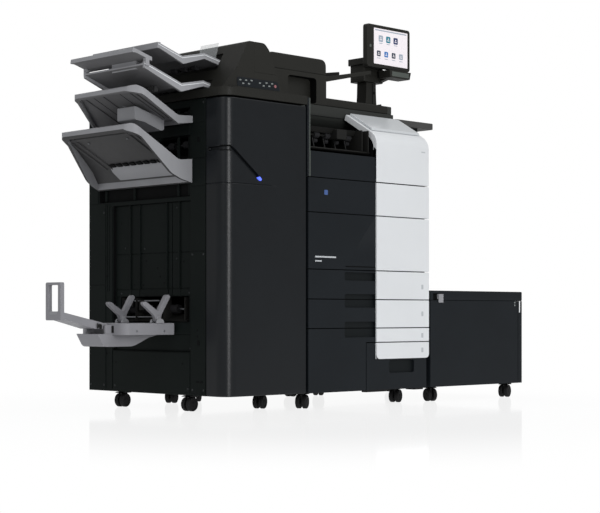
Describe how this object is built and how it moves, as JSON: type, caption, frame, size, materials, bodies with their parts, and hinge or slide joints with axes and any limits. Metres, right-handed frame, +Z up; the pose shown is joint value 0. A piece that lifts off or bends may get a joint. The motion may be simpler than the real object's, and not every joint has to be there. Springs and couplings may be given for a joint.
{
  "type": "production photocopier",
  "caption": "Floor-standing production photocopier with sheet feeder, swivelling touch panel, booklet finisher with sheet inserter on the left and a large paper unit on the right.",
  "frame": {"origin": "centre of the footprint's bounding box, on the floor", "axes": "+X towards the large paper unit at the machine's right, +Y towards the back, +Z up"},
  "size_m": [1.848, 0.689, 1.339],
  "materials": {
    "charcoal": "fine-grained matte charcoal moulded plastic and painted panels",
    "graphite": "matte warm dark grey plastic",
    "light_grey": "matte mid grey plastic of the trays",
    "pale_grey": "matte light grey plastic of the booklet tray",
    "white": "satin white plastic",
    "platen_glass": "clear flat glass",
    "steel": "zinc-plated sheet steel",
    "caster_black": "black glass-filled plastic",
    "caster_tyre": "black hard plastic tread"
  },
  "bodies": {
    "frame": {"engine_cabinet": "charcoal", "top_cover": "white", "side_cover": "charcoal", "toner_rack": "graphite", "scanner_housing": "charcoal", "platen_glass": "platen_glass", "work_table": "graphite", "panel_column": "graphite", "finisher_cabinet": "charcoal", "inserter_housing": "graphite", "inserter_tray_upper": "light_grey", "inserter_tray_lower": "light_grey", "exit_tray_upper": "light_grey", "booklet_tray": "pale_grey", "paper_unit_cabinet": "charcoal"},
    "toner_door": {"toner_door": "charcoal"},
    "front_door": {"front_door": "charcoal"},
    "tray_1": {"tray_1": "charcoal"},
    "tray_2": {"tray_2": "charcoal"},
    "tray_3": {"tray_3": "charcoal"},
    "tray_4": {"tray_4": "charcoal"},
    "feeder": {"feeder_lid": "graphite", "feeder_tray": "graphite"},
    "feeder_cover": {"feeder_cover": "graphite"},
    "panel_head": {"panel_head": "graphite"},
    "tablet": {"tablet": "charcoal"},
    "finisher_door": {"finisher_door": "charcoal"},
    "inserter_cover": {"inserter_cover": "graphite"},
    "inserter_guide": {"inserter_guide": "graphite"},
    "exit_tray_lower": {"exit_tray_lower": "light_grey"},
    "booklet_stopper": {"booklet_stopper": "pale_grey"},
    "booklet_arm_front": {"booklet_arm_front": "pale_grey"},
    "booklet_arm_rear": {"booklet_arm_rear": "pale_grey"},
    "paper_unit_lid": {"paper_unit_lid": "charcoal"},
    "paper_unit_lift_plate": {"paper_unit_lift_plate": "steel"},
    "paper_unit_latch": {"paper_unit_latch": "light_grey"},
    "finisher_front_left_caster": {"finisher_front_left_caster": "caster_black"},
    "finisher_front_left_wheel": {"finisher_front_left_wheel": "caster_tyre"},
    "finisher_front_right_caster": {"finisher_front_right_caster": "caster_black"},
    "finisher_front_right_wheel": {"finisher_front_right_wheel": "caster_tyre"},
    "finisher_rear_left_caster": {"finisher_rear_left_caster": "caster_black"},
    "finisher_rear_left_wheel": {"finisher_rear_left_wheel": "caster_tyre"},
    "finisher_rear_right_caster": {"finisher_rear_right_caster": "caster_black"},
    "finisher_rear_right_wheel": {"finisher_rear_right_wheel": "caster_tyre"},
    "engine_front_left_caster": {"engine_front_left_caster": "caster_black"},
    "engine_front_left_wheel": {"engine_front_left_wheel": "caster_tyre"},
    "engine_front_right_caster": {"engine_front_right_caster": "caster_black"},
    "engine_front_right_wheel": {"engine_front_right_wheel": "caster_tyre"},
    "engine_rear_left_caster": {"engine_rear_left_caster": "caster_black"},
    "engine_rear_left_wheel": {"engine_rear_left_wheel": "caster_tyre"},
    "engine_rear_right_caster": {"engine_rear_right_caster": "caster_black"},
    "engine_rear_right_wheel": {"engine_rear_right_wheel": "caster_tyre"},
    "paper_unit_front_left_caster": {"paper_unit_front_left_caster": "caster_black"},
    "paper_unit_front_left_wheel": {"paper_unit_front_left_wheel": "caster_tyre"},
    "paper_unit_front_right_caster": {"paper_unit_front_right_caster": "caster_black"},
    "paper_unit_front_right_wheel": {"paper_unit_front_right_wheel": "caster_tyre"},
    "paper_unit_rear_left_caster": {"paper_unit_rear_left_caster": "caster_black"},
    "paper_unit_rear_left_wheel": {"paper_unit_rear_left_wheel": "caster_tyre"},
    "paper_unit_rear_right_caster": {"paper_unit_rear_right_caster": "caster_black"},
    "paper_unit_rear_right_wheel": {"paper_unit_rear_right_wheel": "caster_tyre"}
  },
  "joints": [
    {"name": "toner_door_hinge", "type": "hinge", "parent": "frame", "child": "toner_door", "pos_m": [0.086, -0.3425, 0.6365], "axis": [1, 0, 0], "range_deg": [0, 80]},
    {"name": "front_door_hinge", "type": "hinge", "parent": "frame", "child": "front_door", "pos_m": [0.086, -0.3425, 0.4535], "axis": [1, 0, 0], "range_deg": [0, 80]},
    {"name": "tray_1_slide", "type": "slide", "parent": "frame", "child": "tray_1", "axis": [0, -1, 0], "range_m": [0, 0.4]},
    {"name": "tray_2_slide", "type": "slide", "parent": "frame", "child": "tray_2", "axis": [0, -1, 0], "range_m": [0, 0.4]},
    {"name": "tray_3_slide", "type": "slide", "parent": "frame", "child": "tray_3", "axis": [0, -1, 0], "range_m": [0, 0.4]},
    {"name": "tray_4_slide", "type": "slide", "parent": "frame", "child": "tray_4", "axis": [0, -1, 0], "range_m": [0, 0.4]},
    {"name": "feeder_hinge", "type": "hinge", "parent": "frame", "child": "feeder", "pos_m": [0.086, 0.3285, 1.01], "axis": [-1, 0, 0], "range_deg": [0, 60]},
    {"name": "feeder_cover_hinge", "type": "hinge", "parent": "feeder", "child": "feeder_cover", "pos_m": [-0.232, 0.0655, 1.1084], "axis": [0, -1, 0], "range_deg": [0, 60]},
    {"name": "panel_swivel", "type": "hinge", "parent": "frame", "child": "panel_head", "pos_m": [0.437, -0.0095, 1.142], "axis": [0, 0, 1], "range_deg": [-30, 30]},
    {"name": "tablet_tilt", "type": "hinge", "parent": "panel_head", "child": "tablet", "pos_m": [0.437, -0.0615, 1.215], "axis": [-1, 0, 0], "range_deg": [0, 50]},
    {"name": "finisher_door_hinge", "type": "hinge", "parent": "frame", "child": "finisher_door", "pos_m": [-0.202, -0.3335, 0.51], "axis": [0, 0, 1], "range_deg": [0, 90]},
    {"name": "inserter_cover_hinge", "type": "hinge", "parent": "frame", "child": "inserter_cover", "pos_m": [-0.4236, -0.0395, 1.146], "axis": [0, -1, 0], "range_deg": [0, 55]},
    {"name": "inserter_guide_slide", "type": "slide", "parent": "frame", "child": "inserter_guide", "axis": [0, -1, 0], "range_m": [0, 0.12]},
    {"name": "exit_tray_lift", "type": "slide", "parent": "frame", "child": "exit_tray_lower", "axis": [0, 0, 1], "range_m": [-0.28, 0]},
    {"name": "booklet_stopper_fold", "type": "hinge", "parent": "frame", "child": "booklet_stopper", "pos_m": [-0.754, 0.0155, 0.266], "axis": [0, 1, 0], "range_deg": [0, 85]},
    {"name": "booklet_arm_front_press", "type": "hinge", "parent": "frame", "child": "booklet_arm_front", "pos_m": [-0.604, -0.0875, 0.286], "axis": [0, -1, 0], "range_deg": [0, 20]},
    {"name": "booklet_arm_rear_press", "type": "hinge", "parent": "frame", "child": "booklet_arm_rear", "pos_m": [-0.604, 0.0885, 0.286], "axis": [0, -1, 0], "range_deg": [0, 20]},
    {"name": "paper_unit_lid_hinge", "type": "hinge", "parent": "frame", "child": "paper_unit_lid", "pos_m": [0.666, 0.3245, 0.353], "axis": [-1, 0, 0], "range_deg": [0, 60]},
    {"name": "paper_unit_lift", "type": "slide", "parent": "frame", "child": "paper_unit_lift_plate", "axis": [0, 0, 1], "range_m": [0, 0.24]},
    {"name": "paper_unit_latch_hinge", "type": "hinge", "parent": "paper_unit_lid", "child": "paper_unit_latch", "pos_m": [0.461, -0.3415, 0.373], "axis": [-1, 0, 0], "range_deg": [0, 40]},
    {"name": "finisher_front_left_swivel", "type": "hinge", "parent": "frame", "child": "finisher_front_left_caster", "pos_m": [-0.5, -0.1345, 0.052], "axis": [0, 0, 1], "continuous": true},
    {"name": "finisher_front_left_roll", "type": "hinge", "parent": "finisher_front_left_caster", "child": "finisher_front_left_wheel", "pos_m": [-0.51193, -0.13575, 0.0225], "axis": [0.1045, -0.9945, 0], "continuous": true},
    {"name": "finisher_front_right_swivel", "type": "hinge", "parent": "frame", "child": "finisher_front_right_caster", "pos_m": [-0.249, -0.1845, 0.052], "axis": [0, 0, 1], "continuous": true},
    {"name": "finisher_front_right_roll", "type": "hinge", "parent": "finisher_front_right_caster", "child": "finisher_front_right_wheel", "pos_m": [-0.25996, -0.18938, 0.0225], "axis": [0.4067, -0.9135, 0], "continuous": true},
    {"name": "finisher_rear_left_swivel", "type": "hinge", "parent": "frame", "child": "finisher_rear_left_caster", "pos_m": [-0.5, 0.2055, 0.052], "axis": [0, 0, 1], "continuous": true},
    {"name": "finisher_rear_left_roll", "type": "hinge", "parent": "finisher_rear_left_caster", "child": "finisher_rear_left_wheel", "pos_m": [-0.51174, 0.20301, 0.0225], "axis": [0.2079, -0.9781, 0], "continuous": true},
    {"name": "finisher_rear_right_swivel", "type": "hinge", "parent": "frame", "child": "finisher_rear_right_caster", "pos_m": [-0.249, 0.2605, 0.052], "axis": [0, 0, 1], "continuous": true},
    {"name": "finisher_rear_right_roll", "type": "hinge", "parent": "finisher_rear_right_caster", "child": "finisher_rear_right_wheel", "pos_m": [-0.25939, 0.2545, 0.0225], "axis": [0.5, -0.866, 0], "continuous": true},
    {"name": "engine_front_left_swivel", "type": "hinge", "parent": "frame", "child": "engine_front_left_caster", "pos_m": [-0.15, -0.2775, 0.052], "axis": [0, 0, 1], "continuous": true},
    {"name": "engine_front_left_roll", "type": "hinge", "parent": "engine_front_left_caster", "child": "engine_front_left_wheel", "pos_m": [-0.1606, -0.28313, 0.0225], "axis": [0.4695, -0.8829, 0], "continuous": true},
    {"name": "engine_front_right_swivel", "type": "hinge", "parent": "frame", "child": "engine_front_right_caster", "pos_m": [0.336, -0.2475, 0.052], "axis": [0, 0, 1], "continuous": true},
    {"name": "engine_front_right_roll", "type": "hinge", "parent": "engine_front_right_caster", "child": "engine_front_right_wheel", "pos_m": [0.32472, -0.2516, 0.0225], "axis": [0.342, -0.9397, 0], "continuous": true},
    {"name": "engine_rear_left_swivel", "type": "hinge", "parent": "frame", "child": "engine_rear_left_caster", "pos_m": [-0.134, 0.2705, 0.052], "axis": [0, 0, 1], "continuous": true},
    {"name": "engine_rear_left_roll", "type": "hinge", "parent": "engine_rear_left_caster", "child": "engine_rear_left_wheel", "pos_m": [-0.14319, 0.26279, 0.0225], "axis": [0.6428, -0.766, 0], "continuous": true},
    {"name": "engine_rear_right_swivel", "type": "hinge", "parent": "frame", "child": "engine_rear_right_caster", "pos_m": [0.336, 0.2705, 0.052], "axis": [0, 0, 1], "continuous": true},
    {"name": "engine_rear_right_roll", "type": "hinge", "parent": "engine_rear_right_caster", "child": "engine_rear_right_wheel", "pos_m": [0.32418, 0.26842, 0.0225], "axis": [0.1736, -0.9848, 0], "continuous": true},
    {"name": "paper_unit_front_left_swivel", "type": "hinge", "parent": "frame", "child": "paper_unit_front_left_caster", "pos_m": [0.466, -0.2795, 0.052], "axis": [0, 0, 1], "continuous": true},
    {"name": "paper_unit_front_left_roll", "type": "hinge", "parent": "paper_unit_front_left_caster", "child": "paper_unit_front_left_wheel", "pos_m": [0.4619, -0.29078, 0.0225], "axis": [0.9397, -0.342, 0], "continuous": true},
    {"name": "paper_unit_front_right_swivel", "type": "hinge", "parent": "frame", "child": "paper_unit_front_right_caster", "pos_m": [0.882, -0.2975, 0.052], "axis": [0, 0, 1], "continuous": true},
    {"name": "paper_unit_front_right_roll", "type": "hinge", "parent": "paper_unit_front_right_caster", "child": "paper_unit_front_right_wheel", "pos_m": [0.87059, -0.30121, 0.0225], "axis": [0.309, -0.9511, 0], "continuous": true},
    {"name": "paper_unit_rear_left_swivel", "type": "hinge", "parent": "frame", "child": "paper_unit_rear_left_caster", "pos_m": [0.466, 0.2605, 0.052], "axis": [0, 0, 1], "continuous": true},
    {"name": "paper_unit_rear_left_roll", "type": "hinge", "parent": "paper_unit_rear_left_caster", "child": "paper_unit_rear_left_wheel", "pos_m": [0.45561, 0.2545, 0.0225], "axis": [0.5, -0.866, 0], "continuous": true},
    {"name": "paper_unit_rear_right_swivel", "type": "hinge", "parent": "frame", "child": "paper_unit_rear_right_caster", "pos_m": [0.876, 0.2605, 0.052], "axis": [0, 0, 1], "continuous": true},
    {"name": "paper_unit_rear_right_roll", "type": "hinge", "parent": "paper_unit_rear_right_caster", "child": "paper_unit_rear_right_wheel", "pos_m": [0.86441, 0.25739, 0.0225], "axis": [0.2588, -0.9659, 0], "continuous": true}
  ]
}
